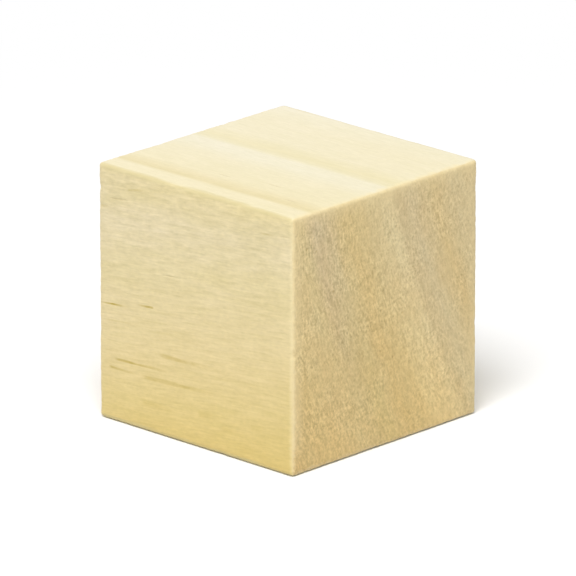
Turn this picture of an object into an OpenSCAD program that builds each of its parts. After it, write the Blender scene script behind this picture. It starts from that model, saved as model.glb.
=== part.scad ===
// Wooden cube
//
// A plain cube sawn from a square stick of softwood and left unfinished.
// The grain runs along X, so the two X faces show end grain and the other
// four show the planed and sanded sides of the stick. Sanding and tumbling
// have eased all twelve arrises by the same small radius, and each corner is
// a piece of a ball that runs smoothly into the three arrises that meet there.
//
// Units are millimetres. +Z is up, and the origin is the centre of the face
// that the cube rests on.

/* [Cube] */
// Length of every edge: the side of the square stick, and the length sawn off it
edge = 25.4; // [10:0.1:60]

/* [Eased arrises] */
// Radius of the arrises, and of the ball at each corner
arris_r = 0.4; // [0.1:0.05:1.5]

/* [Hidden] */

// Colour of pale unfinished pine
pine = [0.91, 0.83, 0.65];

// Segments in a full circle
$fn = 96;

// Straight part of an edge, between the rounded stretches at its ends
straight = edge - 2*arris_r;

// Square with its four corners rounded, centred on the origin
module rounded_square() {
    square([edge, straight], center=true);
    square([straight, edge], center=true);
    for (x = [-1, 1], y = [-1, 1])
        translate([x, y]*straight/2)
            circle(r=arris_r);
}

// Square bar along Z, one edge long, with its four long arrises rounded
module eased_bar() {
    linear_extrude(height=edge, center=true)
        rounded_square();
}

// What sanding takes off the corner that points along +X, +Y and +Z, as seen
// from the centre of the corner's ball
module corner_waste() {
    difference() {
        cube(2*arris_r);
        sphere(r=arris_r);
    }
}

// Three crossed bars leave a cube with twelve round arrises and eight points,
// and the waste comes off each point
module wooden_cube() {
    color(pine)
    translate([0, 0, edge/2])
    difference() {
        intersection() {
            rotate([0, 90, 0]) eased_bar();
            rotate([90, 0, 0]) eased_bar();
            eased_bar();
        }
        for (x = [0, 1], y = [0, 1], z = [0, 1])
            mirror([x, 0, 0]) mirror([0, y, 0]) mirror([0, 0, z])
                translate([straight, straight, straight]/2)
                    corner_waste();
    }
}

wooden_cube();
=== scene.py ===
# %% [markdown]
# # A wooden cube
#
# This lesson finishes a small craft cube, sawn from a square stick of pale pine and sanded. Its form
# is as plain as a form can be, so all that makes it look real is small: arrises that sanding has
# eased unevenly, faces that fall away a little towards their edges, growth rings that run through
# the whole block, and end grain that is darker and rougher than the sides.
#
# The construction model comes in first. It gives the size and the place of the cube, and the
# finished piece stays inside its box.

import math

import bmesh
import bpy
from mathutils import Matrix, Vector, noise as clouds


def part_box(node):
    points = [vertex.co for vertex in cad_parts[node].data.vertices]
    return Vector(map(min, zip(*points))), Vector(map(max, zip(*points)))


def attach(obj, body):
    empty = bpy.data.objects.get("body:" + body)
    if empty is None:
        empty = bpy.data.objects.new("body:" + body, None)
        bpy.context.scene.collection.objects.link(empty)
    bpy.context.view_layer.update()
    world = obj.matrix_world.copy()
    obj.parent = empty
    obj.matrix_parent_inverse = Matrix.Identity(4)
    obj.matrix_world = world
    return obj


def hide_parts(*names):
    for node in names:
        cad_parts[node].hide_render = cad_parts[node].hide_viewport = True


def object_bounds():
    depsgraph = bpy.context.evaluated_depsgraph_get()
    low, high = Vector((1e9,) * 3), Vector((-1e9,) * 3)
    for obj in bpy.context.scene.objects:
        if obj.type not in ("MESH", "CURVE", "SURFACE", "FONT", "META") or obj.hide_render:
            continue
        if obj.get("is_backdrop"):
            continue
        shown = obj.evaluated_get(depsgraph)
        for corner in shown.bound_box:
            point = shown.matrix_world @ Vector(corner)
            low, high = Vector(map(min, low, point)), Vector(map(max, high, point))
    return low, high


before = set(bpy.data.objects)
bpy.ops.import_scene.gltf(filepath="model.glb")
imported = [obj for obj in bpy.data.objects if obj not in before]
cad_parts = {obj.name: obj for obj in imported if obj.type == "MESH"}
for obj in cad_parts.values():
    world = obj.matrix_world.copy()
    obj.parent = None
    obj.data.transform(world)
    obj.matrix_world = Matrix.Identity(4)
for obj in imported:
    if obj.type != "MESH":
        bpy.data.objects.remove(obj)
cad_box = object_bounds()

MM = 0.001  # metres

low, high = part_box("wooden_cube")
edge = high.x - low.x
half = edge / 2
aside = half / MM  # mm from the middle of the cube to each face
middle = Vector((0, 0, half))
print(f"Nodes in the model: {len(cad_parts)}")
print(f"The cube is {edge / MM:.2f} mm along each edge")

# %% [markdown]
# ## The block
#
# The real cube starts as a planed square stick, is sawn to length, and is tumbled or sanded until
# its twelve arrises are no longer sharp. A Bevel modifier would round them too, but the bevel
# operator in edit mode leaves edges that the next step can select and cut. The width of the bevel is
# the radius of the arris, and four segments make it round at this size.

# %% Saw the block and ease its arrises
ARRIS_RADIUS = 0.4 * MM
ARRIS_SEGMENTS = 4
ARC = 0.5  # the bevel's own number for a round profile

bpy.ops.object.select_all(action="DESELECT")
bpy.ops.mesh.primitive_cube_add(size=edge, location=middle)
cube = bpy.context.object
cube.name = "pine_cube"
cube.data.name = "pine_cube"
bpy.ops.object.transform_apply(location=True, rotation=True, scale=True)

bpy.context.tool_settings.mesh_select_mode = (False, True, False)
bpy.ops.object.mode_set(mode="EDIT")
bpy.ops.mesh.select_all(action="SELECT")
bpy.ops.mesh.bevel(
    offset=ARRIS_RADIUS,
    offset_type="OFFSET",
    segments=ARRIS_SEGMENTS,
    profile=ARC,
    affect="EDGES",
)
print(f"The bevelled block has {len(bmesh.from_edit_mesh(cube.data).faces)} faces")

# %% [markdown]
# ## Enough points to shape
#
# Sanded wood isn't quite flat. To model that, the flats need a fine grid of points, about one for
# each fifth of a millimetre. Subdividing only the long edges turns the six flats into grids and the
# arrises into ladders, and leaves the small round corners as they are. One pass stops at a hundred
# cuts, so two passes of a few cuts each do the work.

# %% Cut the flats into a fine grid
PASSES = (8, 12)  # cuts in each pass
LONG = 0.9  # of the length of the edges that are to be cut


def select_long_edges(piece, shortest):
    """Selects the edges of a piece in edit mode that are at least this long, and no others."""
    mesh = bmesh.from_edit_mesh(piece.data)
    for line in mesh.edges:
        line.select_set(False)
    for line in mesh.edges:
        if line.calc_length() > shortest:
            line.select_set(True)
    mesh.select_flush_mode()
    bmesh.update_edit_mesh(piece.data)


gap = edge - 2 * ARRIS_RADIUS
for cuts in PASSES:
    select_long_edges(cube, shortest=gap * LONG)
    bpy.ops.mesh.subdivide(number_cuts=cuts)
    gap = gap / (cuts + 1)

bpy.ops.object.mode_set(mode="OBJECT")
print(f"The flats have a point every {gap / MM:.2f} mm, {len(cube.data.vertices)} in all")

# %% [markdown]
# ## Where the block grew
#
# A plank is a slice of a tree. Its rings are parts of circles round the pith, the heart of the
# tree, which for this block is far behind it and above. The fibres run along X and climb slightly.
# The same few numbers shape the surface here and colour it later, so the raised rings and the
# coloured rings are the same rings. All of them are in millimetres.

# %% Rings and fibres, as numbers
PITH = (94.0, 48.2)  # where the heart of the tree is, along Y and up
GRAIN_RISE = 0.09  # how far the fibres climb for each millimetre along X
RING_EDGE = 96.4  # from the pith to the end of one year's growth
RING_WIDTH = 10.6  # the years after it
YOUNG_RING_WIDTH = 14.0  # the years before it, when the tree grew faster


def growth_at(x, y, z):
    """How far a year's growth has come at a place: 0 in its spring, near 1 in its autumn."""
    radius = math.hypot(PITH[0] - y, PITH[1] - z + x * GRAIN_RISE)
    span = radius - RING_EDGE
    years = max(span / RING_WIDTH, span / YOUNG_RING_WIDTH)
    return years - math.floor(years)


at_top = growth_at(-aside, -aside, 2 * aside)
at_base = growth_at(-aside, -aside, 0)
print(f"Down the front face the growth goes from {at_top:.2f} at the top to {at_base:.2f} at the base")

# %% [markdown]
# ## What sanding and handling leave
#
# Four small things change the surface, none deeper than a tenth of a millimetre. Each one is a
# vertex group, which holds a weight from 0 to 1 for every point, and a Displace modifier that sinks
# the points by their weight. We could paint the weights by hand. Here a rule for each group gives
# them, from where the point is, so the result is the same every time.
#
# Two of the four belong to the arrises. A sanding belt rolls over them, so the faces fall away
# towards them. Handling then wears some stretches more than others, which takes noise.

# %% Rules for the arrises
ROLL_REACH = 1.8  # mm from an arris that the sanding belt still rolls over it
WEAR_REACH = 0.7  # mm either side of an arris that handling wears
WEAR_PATCH = 4.0  # mm, how long one worn stretch is
WEAR_FINER = 4  # times finer, for the noise inside a stretch
WEAR_FINER_SHARE = 0.4
WEAR_GAIN = 1.6  # above 1, a stretch reaches its full depth over more of its length


def from_faces(place):
    """How far inside the faces a place is along X, Y and Z, in mm, smallest first."""
    return sorted((aside - abs(place.x), aside - abs(place.y), aside - abs(place.z - aside)))


def rolled(place):
    """Faces fall away towards the arrises, most at the arris itself."""
    depth = max(0.0, 1 - from_faces(place)[1] / ROLL_REACH)
    return depth * depth


def worn(place):
    """Some stretches of the arrises are worn more than others."""
    near_arris = max(0.0, 1 - from_faces(place)[1] / WEAR_REACH)
    stretch = clouds.noise(place / WEAR_PATCH)
    stretch += WEAR_FINER_SHARE * clouds.noise(place / WEAR_PATCH * WEAR_FINER)
    return near_arris * min(1.0, max(0.0, stretch * WEAR_GAIN))


arris_middle = Vector((-aside, -aside, aside))
print(f"Half-way along an arris: rolled {rolled(arris_middle):.2f}, worn {worn(arris_middle):.2f}")

# %% [markdown]
# The other two belong to the wood. Soft spring growth sands away deeper than the hard autumn growth
# beside it, so the rings stand up by less than the width of a fibre. The cut ends are all open pores,
# a little torn by the saw. Noise makes them, drawn out along X because a pore is the mouth of a long
# tube.

# %% Rules for the rings and the ends
AUTUMN = 0.6  # how far through its year the growth turns hard
END_SKIN = 0.5  # mm, how close to an end a point has to be to belong to it
PORE_SIZE = 0.55  # mm
PORE_STRETCH = 4  # times longer along the fibres
PORE_FINER = 2  # times finer, for the noise between the pores
PORE_FINER_SHARE = 0.5
PORE_OPEN = 0.35  # the weight where the noise is nought


def spring_wood(place):
    """Soft spring growth sands away deeper than the hard autumn growth beside it."""
    growth = growth_at(*place)
    return 1 - max(0.0, growth - AUTUMN) / (1 - AUTUMN)


def open_end(place):
    """The cut ends are open pores, torn a little by the saw."""
    if abs(place.x) < aside - END_SKIN:
        return 0.0
    lattice = Vector((place.x / PORE_STRETCH, place.y, place.z)) / PORE_SIZE
    pores = clouds.noise(lattice) + PORE_FINER_SHARE * clouds.noise(lattice * PORE_FINER)
    return min(1.0, max(0.0, PORE_OPEN + pores))


end_middle = Vector((aside, 0, aside))
print(f"Middle of the end: spring {spring_wood(end_middle):.2f}, open {open_end(end_middle):.2f}")

# %% [markdown]
# Now the rules are used. Each modifier is applied before the next rule is asked, so that nothing is
# left live on the piece, and its vertex group is removed again. All of them sink the points, because
# the cube must stay inside the box of the construction model.

# %% Sink the points by their weights
# Each kind of wear: its name, its rule and its depth in mm.
WEAR = (
    ("rolled_faces", rolled, 0.06),
    ("worn_arrises", worn, 0.045),
    ("spring_wood", spring_wood, 0.012),
    ("open_ends", open_end, 0.035),
)

bpy.ops.object.select_all(action="DESELECT")
cube.select_set(True)
bpy.context.view_layer.objects.active = cube
for name, rule, depth in WEAR:
    group = cube.vertex_groups.new(name=name)
    total = 0.0
    for point in cube.data.vertices:
        weight = rule(point.co / MM)
        total += weight
        group.add([point.index], weight, "REPLACE")
    sink = cube.modifiers.new(name, "DISPLACE")
    sink.vertex_group = name
    sink.direction = "NORMAL"
    sink.mid_level = 0
    sink.strength = -depth * MM
    bpy.ops.object.modifier_apply(modifier=name)
    cube.vertex_groups.remove(cube.vertex_groups[name])
    print(f"{name}: {depth} mm deep, {total / len(cube.data.vertices):.2f} of it on average")

# %% [markdown]
# ## A few nicks
#
# Loose cubes knock against each other in the bag, so an arris has a nick here and there. By hand we
# would take one point and push it in with proportional editing, which carries its neighbours along.
# The same operator does it here, once for each nick.

# %% Push in the nicks
# Each nick: a place on the cube in mm, how far it is pushed in, and how far round it that reaches.
NICKS = (
    ((12.7, -12.7, 11.9), 0.10, 0.7),
    ((-12.7, -12.7, 22.8), 0.08, 0.8),
    ((3.4, -12.7, 0.0), 0.08, 0.8),
    ((12.7, 12.7, 9.2), 0.05, 0.8),
    ((-12.7, 12.7, 6.5), 0.12, 1.0),
    ((-12.7, 4.2, 25.4), 0.08, 0.7),
    ((-4.6, 12.7, 0.0), 0.10, 0.9),
)

bpy.context.tool_settings.mesh_select_mode = (True, False, False)
for place, depth, reach in NICKS:
    target = Vector(place) * MM
    nearest = min(cube.data.vertices, key=lambda point: (point.co - target).length)
    chosen = nearest.index
    bpy.ops.object.mode_set(mode="EDIT")
    bpy.ops.mesh.select_all(action="DESELECT")
    mesh = bmesh.from_edit_mesh(cube.data)
    mesh.verts.ensure_lookup_table()
    mesh.verts[chosen].select_set(True)
    inward = -mesh.verts[chosen].normal * depth * MM
    bmesh.update_edit_mesh(cube.data)
    bpy.ops.transform.translate(
        value=inward,
        use_proportional_edit=True,
        proportional_edit_falloff="SHARP",
        proportional_size=reach * MM,
    )
    bpy.ops.object.mode_set(mode="OBJECT")
print(f"{len(NICKS)} nicks")

# %% [markdown]
# ## Shading and a place in the model
#
# Smooth shading hides the facets of the arrises. It stops at an angle, so that a hard edge would
# stay hard. Then the piece takes over from the plain solid of the construction model, which is hidden,
# and rides on the one body that there is.

# %% Shade the cube and put it in the model
SMOOTH_ANGLE = 40  # degrees

bpy.ops.object.select_all(action="DESELECT")
cube.select_set(True)
bpy.context.view_layer.objects.active = cube
bpy.ops.object.shade_smooth_by_angle(angle=math.radians(SMOOTH_ANGLE))
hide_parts("wooden_cube")
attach(cube, "root")
print(f"The finished piece has {len(cube.data.polygons)} faces")

# %% [markdown]
# ## A material as arithmetic
#
# A node tree is arithmetic drawn as boxes. A small class lets us write it as arithmetic again: it
# holds one output of a node, and adding or multiplying two of them adds a Math node to the tree.


# %% A wire that can be calculated with
class Wire:
    """One output of a node. Arithmetic on wires adds Math nodes to the tree that is being made."""

    tree = None

    def __init__(self, socket):
        self.socket = socket

    @classmethod
    def node(cls, kind, settings=None, sockets=None, output=0):
        """Adds a node: first its settings, then the values or wires of its sockets."""
        made = cls.tree.nodes.new(kind)
        for name, value in (settings or {}).items():
            if name == "stops":
                cls.fill_ramp(made.color_ramp, value)
            else:
                setattr(made, name, value)
        for name, value in (sockets or {}).items():
            if isinstance(value, Wire):
                cls.tree.links.new(value.socket, made.inputs[name])
            else:
                made.inputs[name].default_value = value
        return cls(made.outputs[output]) if made.outputs else made

    @staticmethod
    def fill_ramp(ramp, stops):
        """Gives a colour ramp its stops, each a place and a colour."""
        halfway = 0.5  # where a new stop waits until it is given its place
        while len(ramp.elements) < len(stops):
            ramp.elements.new(halfway)
        for element, (place, shade) in zip(ramp.elements, stops):
            element.position = place
            element.color = (*shade, 1)

    @classmethod
    def math(cls, operation, first, second=0.0):
        """One step of arithmetic on numbers or wires."""
        return cls.node("ShaderNodeMath", {"operation": operation}, {0: first, 1: second})

    def __add__(self, other):
        return self.math("ADD", self, other)

    def __radd__(self, other):
        return self.math("ADD", other, self)

    def __sub__(self, other):
        return self.math("SUBTRACT", self, other)

    def __rsub__(self, other):
        return self.math("SUBTRACT", other, self)

    def __mul__(self, other):
        return self.math("MULTIPLY", self, other)

    def __rmul__(self, other):
        return self.math("MULTIPLY", other, self)

    def __truediv__(self, other):
        return self.math("DIVIDE", self, other)

    def __rtruediv__(self, other):
        return self.math("DIVIDE", other, self)

    def __abs__(self):
        return self.math("ABSOLUTE", self)


print("Wires can add, subtract, multiply and divide")

# %% [markdown]
# ## Tools for masks and noise
#
# Most of a material is made of a few small parts. A mask says where something is: 0 where it isn't,
# 1 where it is, and a soft step between. Noise gives the unevenness that all wood has. Dividing the
# place by a cell of three lengths stretches the noise, and long thin cells turn clouds into fibres.


# %% Masks and noise
def smooth(value, start, end):
    """0 before start, 1 after end, and an even curve between. start may be the larger."""
    return Wire.node(
        "ShaderNodeMapRange",
        {"interpolation_type": "SMOOTHSTEP"},
        {"Value": value, "From Min": start, "From Max": end},
    )


def combine(x, y, z):
    """Vector from three numbers or wires."""
    return Wire.node("ShaderNodeCombineXYZ", {}, {0: x, 1: y, 2: z})


def split(vector):
    """The X, Y and Z of a vector, as three wires."""
    node = Wire.node("ShaderNodeSeparateXYZ", {}, {0: vector}).socket.node
    return [Wire(output) for output in node.outputs]


def both_ways(mask):
    """A mask from 0 to 1 as an amount from -1 to 1."""
    return (mask - 0.5) * 2.0


def speckle(place, cell, detail=2.0, roughness=0.5):
    """Cloudy noise about 0, mostly from -0.5 to 0.5. cell is its size along X, Y and Z."""
    scaled = Wire.node("ShaderNodeVectorMath", {"operation": "DIVIDE"}, {0: place, 1: cell})
    cloud = Wire.node(
        "ShaderNodeTexNoise",
        {"noise_dimensions": "3D"},
        {"Vector": scaled, "Scale": 1.0, "Detail": detail, "Roughness": roughness},
    )
    return both_ways(cloud)


print("Masks and noise are ready")

# %% [markdown]
# ## Tools for colour
#
# Colours can't go through Math nodes, which would turn them grey, so they have tools of their own.
# One mixes two colours, and one looks a colour up in a ramp. The third tints: it multiplies a colour
# by numbers just below 1 in some places and as much above 1 in others. Such a tint leaves the colour
# as it is on average, so that tints can be laid on one another without shifting it.


# %% Colour
MIX_COLOURS = (6, 7)  # the sockets of a Mix node that take its two colours
MIX_RESULT = 2  # and the one that gives the mixed colour


def mix(factor, first, second, blend="MIX"):
    """Colour that goes from first to second as factor goes from 0 to 1."""
    sockets = {0: factor}
    for index, shade in zip(MIX_COLOURS, (first, second)):
        sockets[index] = shade if isinstance(shade, Wire) else (*shade, 1)
    settings = {"data_type": "RGBA", "blend_type": blend, "clamp_factor": True}
    return Wire.node("ShaderNodeMix", settings, sockets, output=MIX_RESULT)


def tint(colour, amount, strength):
    """Colour times 1 - strength at an amount of -1, and times 1 + strength at an amount of 1."""
    dark = [1 - part for part in strength]
    pale = [1 + part for part in strength]
    return mix(1.0, colour, mix(amount * 0.5 + 0.5, dark, pale), "MULTIPLY")


def ramp(value, stops):
    """Colour ramp through stops, each a place from 0 to 1 and a colour."""
    return Wire.node("ShaderNodeValToRGB", {"stops": stops}, {0: value})


def srgb(red, green, blue):
    """Colour as the numbers that shaders use, from the 0 to 255 of a colour picker."""
    shades = []
    for part in (red / 255, green / 255, blue / 255):
        # The numbers in this line are those of the sRGB standard.
        shades.append(part / 12.92 if part <= 0.04045 else ((part + 0.055) / 1.055) ** 2.4)
    return tuple(shades)


print("A middle grey of 128 is", round(srgb(128, 128, 128)[0], 3), "to a shader")

# %% [markdown]
# ## Wood that is solid all through
#
# Wood grain is not a picture wrapped round a block, it goes through it. So the material works out
# where a point is in the tree, and every face, arris and nick then shows the right cut: lines along
# the sides, and rings on the ends. The first step is the same sum as above, now with wires. The
# fibres climb, so heights are measured along a fibre. No tree is perfectly round, so slow noise sways
# the rings and finer noise ripples them.

# %% Where a point is in the tree
SWAY_CELL = (60.0, 14.0, 14.0)  # mm
SWAY = 0.7  # mm that the rings stray
RIPPLE_CELL = (20.0, 2.5, 2.5)  # mm
RIPPLE = 0.16  # mm

pine = bpy.data.materials.new("bare_pine")
pine.use_nodes = True
pine.node_tree.nodes.clear()
Wire.tree = pine.node_tree

inside = Wire.node("ShaderNodeTexCoord", output="Object")
normal = Wire.node("ShaderNodeTexCoord", output="Normal")
place = Wire.node("ShaderNodeVectorMath", {"operation": "SCALE"}, {0: inside, "Scale": 1 / MM})
x, y, z = split(place)
level = z - x * GRAIN_RISE
fibre = combine(x, y, level)

sway = speckle(fibre, SWAY_CELL, detail=1.0) * SWAY
ripple = speckle(fibre, RIPPLE_CELL) * RIPPLE
across = PITH[0] - y
above = PITH[1] - level
radius = Wire.math("SQRT", across * across + above * above) + sway + ripple
around = Wire.math("ARCTAN2", above, across) * RING_EDGE
ring_place = combine(x, radius, around)
print(f"{len(Wire.tree.nodes)} nodes find the place in the tree")

# %% [markdown]
# ## Which cut is this?
#
# A saw opens wood in three ways. Across the fibres it gives the ends, which face along X. The front
# and the back face the pith, so they are cut along the rings, and the top and the base are cut across
# them. The direction that the surface faces tells the three apart, with soft steps on the arrises.

# %% Masks for the cuts
END_FACING = (0.55, 0.85)  # how far a surface turns towards X before it is an end
FLAT_FACING = (0.45, 0.8)  # and towards Y before it is cut along the rings

facing_x, facing_y, _ = split(normal)
end_cut = smooth(abs(facing_x), *END_FACING)
flat_cut = smooth(abs(facing_y), *FLAT_FACING)
print(f"{len(Wire.tree.nodes)} nodes, now with a mask for each cut")

# %% [markdown]
# ## Three cuts, three colours
#
# One year's wood starts pale in spring and turns yellow-brown by autumn. How strongly that shows
# depends on the cut. Sides that are cut along the rings are yellow with broad soft bands, sides cut
# across the rings are paler, and the ends are darkest, because there we look into the open tubes of
# the fibres. The paler colour across the rings is partly painted light: it stands in for the strong
# light on the top, and the base shares it. The deeper yellow at the foot of the front is partly
# painted warm light, bounced up from below. Each cut has a colour ramp along the distance from the
# pith. The sides come first.

# %% Colours of the sides
RINGS_START = 82.0  # mm from the pith, where the ramps start
RINGS_END = 118.0  # and where they end
through_years = (radius - RINGS_START) / (RINGS_END - RINGS_START)


def rings(*stops):
    """Colour ramp through the years. Each stop is a distance from the pith in mm and a colour."""
    span = RINGS_END - RINGS_START
    return ramp(through_years, [((at - RINGS_START) / span, srgb(*shade)) for at, shade in stops])


# Across the rings: paler colours, partly from the cut and partly painted light for the bright top.
across_rings_painted_pale = rings(
    (84.0, (236, 228, 201)),
    (88.5, (234, 224, 191)),
    (93.0, (234, 224, 191)),
    (95.2, (231, 220, 180)),
    (96.2, (230, 220, 183)),
    (96.9, (235, 227, 200)),
    (98.5, (234, 226, 198)),
    (100.5, (233, 223, 189)),
    (104.5, (233, 222, 185)),
    (105.5, (230, 217, 176)),
    (106.5, (224, 210, 164)),
    (107.0, (235, 224, 189)),
    (112.0, (233, 222, 183)),
    (116.0, (228, 216, 170)),
)
along_rings = rings(
    (84.0, (230, 216, 172)),
    (88.0, (230, 213, 163)),
    (92.0, (228, 207, 148)),
    (95.5, (223, 199, 128)),
    (96.8, (230, 216, 174)),
    (101.0, (230, 213, 162)),
    (106.0, (223, 199, 128)),
    (107.2, (230, 216, 174)),
    (109.3, (228, 212, 163)),
    (109.9, (229, 214, 172)),
    (111.0, (228, 212, 163)),
    (112.5, (230, 212, 162)),
    (113.4, (230, 211, 158)),
    # From here to the foot of the front the yellow deepens, partly as painted warm bounce light.
    (114.0, (229, 209, 153)),
    (115.5, (225, 204, 140)),
    (117.5, (221, 197, 123)),
)
sides = mix(flat_cut, across_rings_painted_pale, along_rings)
print(f"{len(Wire.tree.nodes)} nodes, now with the colours of the sides")

# %% [markdown]
# On the ends a year reads as a pale line of spring wood, a warm middle and a grey-brown autumn. The
# same distances from the pith are used, so each band of a side meets its own band on the end.

# %% Colours of the ends
end_of_grain = rings(
    (84.0, (225, 203, 151)),
    (88.5, (222, 200, 149)),
    (91.0, (224, 198, 141)),
    (94.0, (222, 202, 155)),
    (95.8, (220, 198, 148)),
    (96.7, (231, 209, 156)),
    (98.8, (229, 206, 150)),
    (100.6, (224, 199, 140)),
    (102.5, (223, 196, 135)),
    (104.5, (220, 197, 141)),
    (106.8, (217, 194, 143)),
    (108.2, (223, 200, 144)),
    (110.0, (224, 199, 142)),
    (113.0, (224, 198, 138)),
    (117.5, (216, 189, 131)),
)
wood = mix(end_cut, sides, end_of_grain)
print(f"{len(Wire.tree.nodes)} nodes, now with the colours of three cuts")

# %% [markdown]
# ## Fibres
#
# Up close, pine is made of fine lines along the fibres, about a tenth of a millimetre wide and a few
# millimetres long, and bundles of them make darker and paler strands. We could paint such lines on
# each face, but noise that is stretched along X draws them all, right round every arris. Each noise
# tints the wood. The lines are clearest where the cut follows the rings, half as clear across them,
# and they fade out on the ends.

# %% Lines along the sides
HAIR_CELL = (2.0, 0.22, 0.22)  # mm, as all cells of noise here
HAIR_TINT = (0.15, 0.16, 0.24)
STRAND_CELL = (4.5, 0.8, 0.5)
STRAND_TINT = (0.07, 0.07, 0.15)
DRIFT_CELL = (14.0, 5.0, 5.0)
DRIFT_SHARE = 0.5  # how much of the drift goes into the strands
ACROSS_SHARE = 0.5  # how clear the lines are on a side that is cut across the rings

hair = speckle(fibre, HAIR_CELL, detail=3.0, roughness=0.6)
strand = speckle(fibre, STRAND_CELL, detail=3.0)
drift = speckle(fibre, DRIFT_CELL)

along = (1 - end_cut) * (ACROSS_SHARE + flat_cut * (1 - ACROSS_SHARE))
wood = tint(wood, hair * along, HAIR_TINT)
wood = tint(wood, (strand + drift * DRIFT_SHARE) * along, STRAND_TINT)
print(f"Lines in cells {HAIR_CELL[1]} mm wide, strands in cells {STRAND_CELL[1]} mm wide")

# %% [markdown]
# Lines alone would look combed. Real fibres start and stop, so small flecks break the lines up on all
# four sides. Soft spring wood cuts less cleanly than hard autumn wood. Where a side is cut along the
# rings it has longer dashes as well, and a yellow haze. The foot of the front is autumn wood and
# stays clean.

# %% Flecks, dashes and haze
FLECK_CELL = (0.5, 0.35, 0.3)
FLECK_TINT = (0.08, 0.08, 0.09)
DASH_CELL = (0.9, 0.5, 0.3)
DASH_TINT = (0.13, 0.13, 0.18)
HAZE_CELL = (7.0, 3.0, 1.4)
HAZE_TINT = (0.03, 0.035, 0.11)
OPEN_GRAIN = (113.5, 109.5)  # mm from the pith, where the rough wood starts and where it is full

fleck = speckle(fibre, FLECK_CELL)
dash = speckle(fibre, DASH_CELL)
haze = speckle(fibre, HAZE_CELL)

open_grain = smooth(radius, *OPEN_GRAIN) * flat_cut
wood = tint(wood, fleck * along, FLECK_TINT)
wood = tint(wood, dash * open_grain, DASH_TINT)
wood = tint(wood, haze * open_grain, HAZE_TINT)
print(f"Flecks in cells {FLECK_CELL[0]} mm long, dashes in cells {DASH_CELL[0]} mm long")

# %% [markdown]
# Colour also drifts along a board. From the left end to the right one, the sides turn a little
# warmer. The amount of this tint is simply the place along X, from -1 to 1. Its numbers are negative,
# so a positive amount darkens, and blue most of all.

# %% Warmer towards the right
TOWARD_TINT = (-0.008, -0.011, -0.034)

toward = x / aside * (1 - end_cut)
wood = tint(wood, toward, TOWARD_TINT)
print(f"The right of a side has {-TOWARD_TINT[2]:.1%} less blue")

# %% [markdown]
# ## End grain
#
# On the ends the same fibres are seen from their tips. The saw tears some tips, which look dark, and
# polishes others. Two noises make these specks: one in rows that follow the rings, and one that is
# the same in all directions. Their strength drifts from place to place and grows towards the front.

# %% Specks on the ends
# A cell on the rings is a length along the fibres, one out from the pith and one round it.
ROWS_CELL = (3.0, 0.25, 0.7)
TIPS_CELL = (3.0, 0.28, 0.28)
SPECK_TINT = (0.36, 0.38, 0.46)
SPECK_STRENGTH = 0.85  # in the middle of an end
SPECK_FORWARD = 0.015  # added for each millimetre towards the front

rows = speckle(ring_place, ROWS_CELL, roughness=0.6)
tips = speckle(fibre, TIPS_CELL, roughness=0.6)
specks = rows + tips
torn = specks * (SPECK_STRENGTH + drift - y * SPECK_FORWARD)
wood = tint(wood, torn * end_cut, SPECK_TINT)
print(f"Specks in cells {TIPS_CELL[1]} mm wide, in rows {ROWS_CELL[1]} mm apart")

# %% [markdown]
# Specks gather in clumps, and larger patches are warmer or cooler than the rest. Dark and pale are one
# kind of change, warm and cool another: the first has the same sign in all three numbers of its
# tint, and the second takes from red what it gives to blue. The whole end also turns warmer and a
# little darker from the top to the foot. That is painted light: warm light bounced up from below,
# and shade towards the foot.

# %% Clumps and patches on the ends
CLUMP_CELL = (6.0, 0.7, 1.1)
CLUMP_TINT = (0.10, 0.10, 0.12)
PATCH_CELL = (9.0, 1.8, 4.5)
PATCH_TINT = (-0.01, 0.03, 0.08)
FOOT_LIGHT_HEIGHTS = (22.0, 0.0)  # mm up, where the warmth starts and where it is full
FOOT_LIGHT_SWAY = 6.0  # mm that noise moves these heights
FOOT_LIGHT_TINT = (-0.01, -0.03, -0.08)

clump = speckle(ring_place, CLUMP_CELL)
patch = speckle(ring_place, PATCH_CELL)
painted_foot_light = both_ways(smooth(level + drift * FOOT_LIGHT_SWAY, *FOOT_LIGHT_HEIGHTS))
wood = tint(wood, clump * end_cut, CLUMP_TINT)
wood = tint(wood, patch * end_cut, PATCH_TINT)
# Painted light: warmer and a little darker at the foot, paler and cooler at the top.
wood = tint(wood, painted_foot_light * end_cut, FOOT_LIGHT_TINT)
print(f"Clumps in cells {CLUMP_CELL[2]} mm long, patches in cells {PATCH_CELL[2]} mm long")

# %% [markdown]
# ## Rings that change
#
# A ring doesn't keep one colour all the way round a tree, because sun and slope make one side grow
# differently. On the ends three of the rings change from their top to their foot. A mask picks each
# ring out by its distance from the pith, and a second mask says how far down it we are.

# %% Change three rings from top to foot
# Each ring: its distance from the pith, how near to that it is at full strength, both in mm, and its
# tint at the foot. At the top the tint is the opposite.
PALE_RING = (98.8, 0.8, (0.035, 0.035, 0.03))
GREY_RING = (105.8, 0.8, (0.01, 0.01, -0.06))
INNER_RING = (94.0, 1.0, (0.02, 0.04, 0.07))
RING_REACH = 2.6  # mm either side, where a ring has faded out
RING_HEIGHTS = (22.0, 2.0)  # mm up, from the top of the change to its foot


def on_ring(distance, full):
    """1 on a ring of the ends, and 0 away from it."""
    return smooth(abs(radius - distance), RING_REACH, full) * end_cut


lower = both_ways(smooth(level, *RING_HEIGHTS))
for distance, full, strength in (PALE_RING, GREY_RING, INNER_RING):
    wood = tint(wood, on_ring(distance, full) * lower, strength)
    print(f"The ring {distance} mm from the pith changes with height")

# %% [markdown]
# The pale ring is so plain that it would look drawn. Half-way up, it is therefore a little duller
# for a few millimetres. That is the mask of the ring once more, times a mask of the height.

# %% Dull the pale ring half-way up
DULL_HEIGHT = 14.8  # mm up
DULL_REACH = (2.8, 0.6)  # mm either side, where it has faded out and where it is full
DULL_TINT = (-0.016, -0.022, -0.022)

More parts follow.
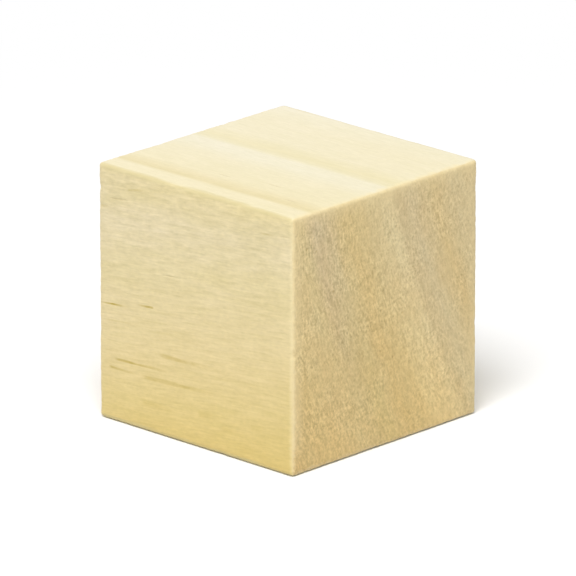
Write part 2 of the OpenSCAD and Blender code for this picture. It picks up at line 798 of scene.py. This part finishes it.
distance, full, _ = PALE_RING
dull = smooth(abs(level - DULL_HEIGHT), *DULL_REACH) * on_ring(distance, full)
wood = tint(wood, dull, DULL_TINT)
print(f"The pale ring is duller about {DULL_HEIGHT} mm up")

# %% [markdown]
# ## Resin canals
#
# Pine has fine canals full of resin, each a fraction of a millimetre wide. On the sides they are
# short brown dashes that follow the fibres, and on the ends small dots. Voronoi cells that are
# stretched along the fibres scatter them through the whole block.

# %% Scatter the canals
CANAL_GAP = (24.0, 2.1, 2.1)  # mm from one canal to the next
CANAL_SIZE = 0.07  # of that gap
CANAL_CORE = 0.4  # of that size, the part at full strength
CANAL_ON_SIDES = 0.12  # how strong its colour is there
CANAL_MORE_ON_ENDS = 0.3
RESIN = srgb(180, 150, 86)

cells = Wire.node("ShaderNodeVectorMath", {"operation": "DIVIDE"}, {0: fibre, 1: CANAL_GAP})
from_canal = Wire.node("ShaderNodeTexVoronoi", {"feature": "F1"}, {"Vector": cells, "Scale": 1.0})
canal = smooth(from_canal, CANAL_SIZE, CANAL_SIZE * CANAL_CORE)
wood = mix(canal * (CANAL_ON_SIDES + end_cut * CANAL_MORE_ON_ENDS), wood, RESIN)
print(f"Canals up to {2 * CANAL_SIZE * CANAL_GAP[1]:.2f} mm wide")

# %% [markdown]
# A few canals lie just below the front, and the plane has opened them into long thin streaks. They
# are few and easy to see, so each one is given in a list: a line from a dark end to an end that fades
# out. The strands make it waver, and a fine noise breaks it into beads.

# %% Lay the opened canals along the front
# Each canal: where its dark end is along X, where it has faded out, its height along the fibre at
# the dark end, how far it sinks on the way, half its width, and how dark it is.
OPENED = (
    (-11.2, -8.4, 12.65, 0.05, 0.08, 0.55),
    (-10.4, -13.1, 12.67, 0.0, 0.08, 0.5),
    (-5.3, -7.8, 13.00, -0.05, 0.10, 0.8),
    (-4.8, 4.0, 8.49, 0.50, 0.20, 0.35),
    (-10.8, -2.6, 7.29, 0.40, 0.11, 0.7),
    (-11.4, -7.4, 6.44, 0.40, 0.11, 0.4),
    (-7.4, 6.0, 6.04, 0.60, 0.19, 0.35),
    (-7.4, 0.2, 3.55, 0.6, 0.3, 0.15),
    (0.2, 5.2, 3.4, 0.1, 0.3, 0.13),
    (3.2, 7.4, 2.25, 0.1, 0.25, 0.15),
    (7.2, 9.6, 3.0, 0.0, 0.25, 0.13),
    (-12.4, -4.8, 11.05, 0.0, 0.09, 0.12),
    (-12.4, -10.6, 22.26, 0.0, 0.1, 0.25),
    (8.4, 11.0, 22.3, 0.0, 0.12, 0.25),
    (-8.8, -5.9, 24.2, -0.3, 0.1, 0.25),
)
OPENED_DEPTH = (1.5, 0.45)  # mm below the front, where they end and where they are full
OPENED_EDGE = (1.7, 0.3)  # times half the width, where they end and where they are full
DARK_END = (0.0, 0.12)  # of the length, where a streak starts and where it is full
FADING_END = (1.0, 0.2)  # of the length, where it has faded out and where it is still full
WAVER = 0.15  # mm
BEADS_CELL = (0.9, 0.4, 0.4)
BEADS_LEVEL = 0.9  # how dark a streak is where the beads' noise is nought
OLD_RESIN = srgb(178, 152, 12)

front = smooth(y + aside, *OPENED_DEPTH)
waver = level + strand * WAVER
beads = speckle(fibre, BEADS_CELL) + BEADS_LEVEL
for start, end, height_along, sink, width, darkness in OPENED:
    part = (x - start) / (end - start)
    off_line = abs(waver + part * sink - height_along) / width
    line = smooth(off_line, *OPENED_EDGE)
    reach = smooth(part, *DARK_END) * smooth(part, *FADING_END)
    wood = mix(line * reach * front * beads * darkness, wood, OLD_RESIN)
print(f"{len(OPENED)} opened canals")

# %% [markdown]
# ## Arrises
#
# Sanding polishes the arrises round the two ends, where it crosses the fibres, so they are a little
# paler than the faces; part of that paleness is a painted highlight along them. The ends are paler
# near them as well, partly from wear and partly as painted light that the rolled edges catch from
# above, and at the foot they are left darker, as painted shade where the cube stands. The four long
# arrises run with the fibres and only turn a little yellower. How near a point is to an arris is
# worked out from its place: it is near an end arris where it is close to an end and close to a side
# as well. The noises from before make all these reaches uneven.

# %% Find the arrises
POLISH_REACH = (0.6, 0.1)  # mm either side of an arris, where polish ends and where it is full
END_REACH = (2.0, 0.0)  # mm, the same on the end grain, where the paler band reaches further in
SHADED_FOOT = (0.5, 4.0)  # mm up from the base, where the paler end starts and where it is full; below, the foot keeps a painted shade
UNEVEN = 0.4  # mm that noise moves these reaches

to_end = aside - abs(x)
to_front = aside - abs(y)
to_top = aside - abs(z - aside)
to_side = Wire.math("MINIMUM", to_front, to_top)
to_end_arris = Wire.math("MAXIMUM", to_end, to_side)
to_long_arris = Wire.math("MAXIMUM", to_front, to_top)

# The paler colour of this polish is partly a painted highlight along the arrises round the ends.
polish_and_highlight = smooth(to_end_arris + strand * UNEVEN, *POLISH_REACH)
yellow = smooth(to_long_arris + strand * UNEVEN, *POLISH_REACH) * (1 - polish_and_highlight)
# Partly painted light: the ends are paler near their top and side arrises, and the foot keeps a
# painted shade.
end_wear_and_light = smooth(to_side + patch * UNEVEN, *END_REACH) * end_cut * smooth(z, *SHADED_FOOT)
print(f"Polish reaches {POLISH_REACH[0]} mm from an arris, and wear {END_REACH[0]} mm into an end")

# %% [markdown]
# Three masks are ready, and each mixes in a colour of its own. Here a mix is better than a tint,
# because polish hides the specks and lines below it, where a tint would keep them all.

# %% Colour the arrises
# Each: where it is, how much of it, and its colour; the first two are partly painted light.
ARRIS_COLOURS_AND_LIGHT = (
    (end_wear_and_light, 0.6, srgb(237, 216, 164)),
    (polish_and_highlight, 0.5, srgb(244, 226, 178)),
    (yellow, 0.8, srgb(213, 199, 150)),
)

for mask, share, shade in ARRIS_COLOURS_AND_LIGHT:
    wood = mix(mask * share, wood, shade)
print(f"{len(Wire.tree.nodes)} nodes, now with the arrises")

# %% [markdown]
# ## The finish itself
#
# Bare sanded wood is dull but not dead: it keeps a faint shine, a little stronger where the arrises
# are polished. The finest relief, below what the mesh can hold, goes into a Bump node whose height is
# in real metres. The two numbers for the shine are the same all over, so they are set straight on the
# shader.

# %% Put the finish together
HAIR_RELIEF = 0.012  # mm
SPECK_RELIEF = 0.02
CANAL_RELIEF = 0.03
ROUGHNESS = 0.68
HAIR_ROUGHNESS = 0.08  # added on the high side of a fibre
POLISH_ROUGHNESS = 0.1  # taken away by polish
WOOD_IOR = 1.5
SHINE = 0.4  # a little under Blender's usual half, because open fibres reflect less

height = hair * HAIR_RELIEF - specks * end_cut * SPECK_RELIEF - canal * CANAL_RELIEF
bump = Wire.node("ShaderNodeBump", {}, {"Height": height * MM, "Strength": 1.0, "Distance": 1.0})
rough = ROUGHNESS + hair * HAIR_ROUGHNESS - polish_and_highlight * POLISH_ROUGHNESS
finish = {
    "Base Color": wood,
    "Roughness": rough,
    "Normal": bump,
    "IOR": WOOD_IOR,
    "Specular IOR Level": SHINE,
}
shader = Wire.node("ShaderNodeBsdfPrincipled", {}, finish)
Wire.node("ShaderNodeOutputMaterial", {}, {"Surface": shader})
cube.data.materials.clear()
cube.data.materials.append(pine)
print(f"The material has {len(Wire.tree.nodes)} nodes")

# %% [markdown]
# ## A white floor
#
# A product on a white sheet needs a floor that is white to the eye and still shows a shadow. A floor
# that is white to the light as well would throw too much of it up at the cube. So the floor is a matt
# surface that is pale grey for the light that bounces off it, and white for the camera and for
# reflections. The Light Path node tells these apart.

# %% Lay the floor
FLOOR_SIZE = 4.0  # m
BOUNCE_GREY = 0.75
WHITE = (1.0, 1.0, 1.0)


def seen_directly():
    """1 for the camera, for reflections and for what is seen through glass, 0 for other light."""
    camera_ray = Wire.node("ShaderNodeLightPath", output="Is Camera Ray")
    glossy_ray = Wire.node("ShaderNodeLightPath", output="Is Glossy Ray")
    through_ray = Wire.node("ShaderNodeLightPath", output="Is Transmission Ray")
    return Wire.math("MINIMUM", camera_ray + glossy_ray + through_ray, 1.0)


bpy.ops.object.select_all(action="DESELECT")
bpy.ops.mesh.primitive_plane_add(size=FLOOR_SIZE, location=(0, 0, 0))
floor = bpy.context.object
floor.name = "studio_floor"
floor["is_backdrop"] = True

paper = bpy.data.materials.new("white_paper")
paper.use_nodes = True
paper.node_tree.nodes.clear()
Wire.tree = paper.node_tree
seen = seen_directly()
paper_shade = mix(seen, (BOUNCE_GREY, BOUNCE_GREY, BOUNCE_GREY), WHITE)
matt = Wire.node("ShaderNodeBsdfDiffuse", {}, {"Color": paper_shade})
print(f"The floor is {FLOOR_SIZE} m across")

# %% [markdown]
# A matt floor of any size still darkens towards its horizon. Away from the cube, the white therefore
# becomes a glow of strength 1, so that the horizon disappears from any side. Near the cube it stays
# matt, which keeps the shadow.

# %% Let the floor glow away from the cube
GLOW = (0.055, 0.125)  # m from the middle of the floor, where it starts and where it is full
GLOW_STRENGTH = 1.0

spot = Wire.node("ShaderNodeTexCoord", output="Object")
away = Wire.node("ShaderNodeVectorMath", {"operation": "LENGTH"}, {0: spot}, output="Value")
glow_mask = smooth(away, *GLOW) * seen
glow = Wire.node("ShaderNodeEmission", {}, {"Color": (*WHITE, 1), "Strength": GLOW_STRENGTH})
surface = Wire.node("ShaderNodeMixShader", {}, {0: glow_mask, 1: matt, 2: glow})
Wire.node("ShaderNodeOutputMaterial", {}, {"Surface": surface})
floor.data.materials.append(paper)
print(f"The floor's material has {len(Wire.tree.nodes)} nodes")

# %% [markdown]
# ## Soft light
#
# The world is a plain white sky that fills the shadows. It is dimmer as a light than it looks,
# for the same reason as the floor.

# %% Set the world
SKY = 0.4  # how strong it is as a light

world = bpy.data.worlds.new("studio")
bpy.context.scene.world = world
world.use_nodes = True
world.node_tree.nodes.clear()
Wire.tree = world.node_tree
brightness = SKY + seen_directly() * (1 - SKY)
sky = Wire.node("ShaderNodeBackground", {}, {"Color": (*WHITE, 1), "Strength": brightness})
Wire.node("ShaderNodeOutputWorld", {}, {"Surface": sky})
print(f"The sky looks white and gives {SKY} of its light")

# %% [markdown]
# One large soft lamp from the front and above, a little to the right, lights the top most, the front
# less and the right end least, so that each face reads as a plane. A second, weak lamp low on the
# other side keeps the back and the left end from going dull. It is kept out of reflections, because
# from so low it would graze the top and shine in it. Together they are set so that a colour
# renders about as it is written.

# %% Hang the lamps
LAMP_SIZE = 0.5  # m
LAMP_DISTANCE = 1.0
# Each lamp: its azimuth and elevation in degrees, its watts, and whether reflections show it.
LAMPS = {
    "softbox": (31, 58.5, 8.6, True),
    "fill": (215, 12, 1.6, False),
}


def direction(azimuth, elevation):
    """Unit vector out from the cube: azimuth 0 is the front, 90 the right end, in degrees."""
    turn = math.radians(azimuth)
    lift = math.radians(elevation)
    flat = math.cos(lift)
    return Vector((math.sin(turn) * flat, -math.cos(turn) * flat, math.sin(lift)))


def aim(piece, azimuth, elevation, distance):
    """Puts a lamp or camera in a direction from the cube, looking at the cube's middle."""
    out = direction(azimuth, elevation)
    piece.location = middle + out * distance
    piece.rotation_euler = (-out).to_track_quat("-Z", "Y").to_euler()


for name, (azimuth, elevation, watts, reflected) in LAMPS.items():
    lamp_data = bpy.data.lights.new(name, "AREA")
    lamp_data.shape = "SQUARE"
    lamp_data.size = LAMP_SIZE
    lamp_data.energy = watts
    lamp = bpy.data.objects.new(name, lamp_data)
    bpy.context.collection.objects.link(lamp)
    lamp.visible_glossy = reflected
    aim(lamp, azimuth, elevation, LAMP_DISTANCE)
    print(f"{name}: {watts} W from azimuth {azimuth}, elevation {elevation}")

# %% [markdown]
# ## The camera
#
# A long lens from almost a metre away keeps the edges of the cube nearly parallel, as in a
# catalogue picture. It looks at the front right arris from a little above.

# %% Place the camera
SENSOR = 36  # mm
LENS = 595  # mm
CLIPPING = (0.05, 10)  # m, the nearest and the farthest that it sees
CAMERA_AZIMUTH = 43.6
CAMERA_ELEVATION = 18.4
CAMERA_DISTANCE = 0.9  # m

camera_data = bpy.data.cameras.new("camera")
camera_data.sensor_width = SENSOR
camera_data.lens = LENS
camera_data.clip_start, camera_data.clip_end = CLIPPING
camera = bpy.data.objects.new("camera", camera_data)
bpy.context.collection.objects.link(camera)
aim(camera, CAMERA_AZIMUTH, CAMERA_ELEVATION, CAMERA_DISTANCE)
bpy.context.scene.camera = camera
bpy.context.scene.view_settings.view_transform = "Standard"
print(f"A {LENS} mm lens sees {CAMERA_DISTANCE * SENSOR / LENS / MM:.0f} mm across at the cube")

# %% [markdown]
# ## The sizes
#
# The finished piece must stay inside the box of the construction model, so the sizes of both boxes
# are printed.

# %% Print the sizes
visual_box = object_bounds()
sizes = {
    "cad": [list(corner) for corner in cad_box],
    "visual": [list(corner) for corner in visual_box],
}
for name, (lowest, highest) in sizes.items():
    print(name, [round((b - a) / MM, 3) for a, b in zip(lowest, highest)], "mm")
